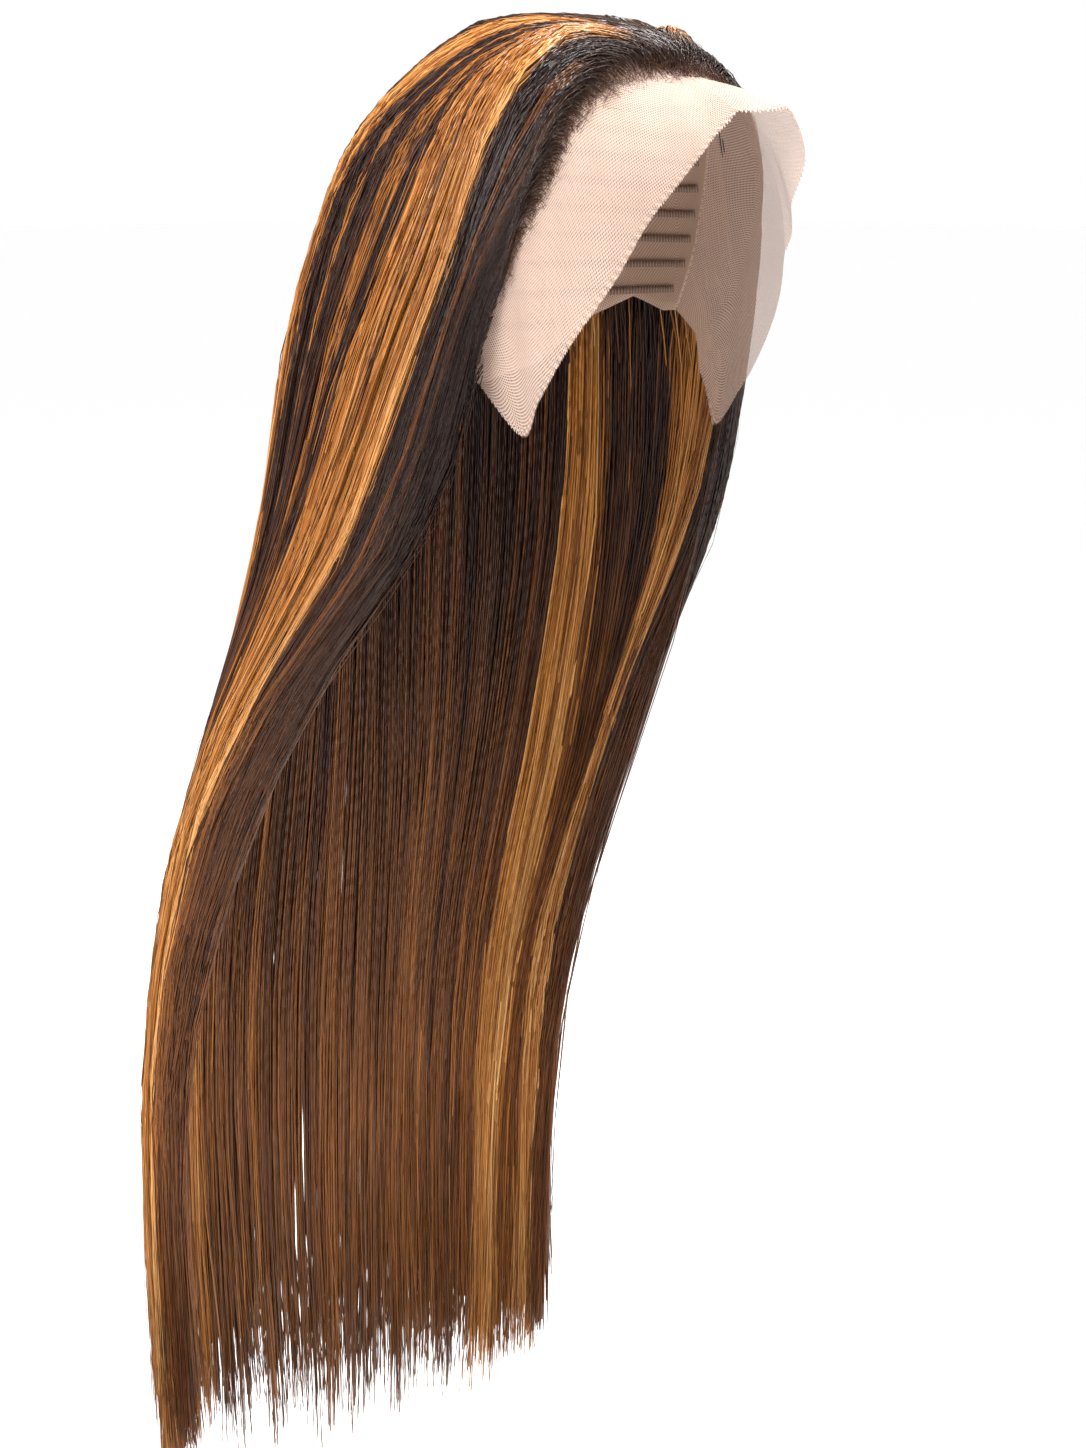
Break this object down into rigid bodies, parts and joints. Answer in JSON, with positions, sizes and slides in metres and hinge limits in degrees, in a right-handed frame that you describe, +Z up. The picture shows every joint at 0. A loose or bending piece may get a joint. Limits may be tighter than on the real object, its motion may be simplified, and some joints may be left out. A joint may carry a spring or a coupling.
{
  "type": "lace front wig",
  "caption": "Long straight lace front wig in dark brown with caramel highlights, combed back from the hairline and worn behind the shoulders.",
  "frame": {"origin": "the crown of the head inside the cap, where the cap sits on the head", "axes": "+Z up, the wearer looks along -Y, +X towards the wearer's left"},
  "size_m": [0.2841, 0.2464, 0.6745],
  "materials": {
    "hair_dark": "straight hair, near black brown, soft sheen along the strands",
    "hair_brown": "straight hair, medium brown, soft sheen along the strands",
    "hair_caramel": "straight hair, caramel highlights, soft sheen along the strands",
    "lace": "fine translucent hexagonal net, pale nude, matt",
    "cap_net": "skin-toned stretch net with sewn weft rows, matt"
  },
  "bodies": {
    "root": {"wig_cap": "cap_net", "lace_front": "lace", "hair_right_centre": "hair_dark", "hair_right_back": "hair_dark", "hair_right_back_band": "hair_caramel", "hair_right_crown": "hair_brown", "hair_right_band": "hair_caramel", "hair_right_temple": "hair_dark", "hair_right_front": "hair_dark", "hair_left_centre": "hair_dark", "hair_left_back": "hair_dark", "hair_left_back_band": "hair_caramel", "hair_left_crown": "hair_brown", "hair_left_band": "hair_caramel", "hair_left_temple": "hair_dark", "hair_left_front": "hair_dark"}
  },
  "joints": []
}
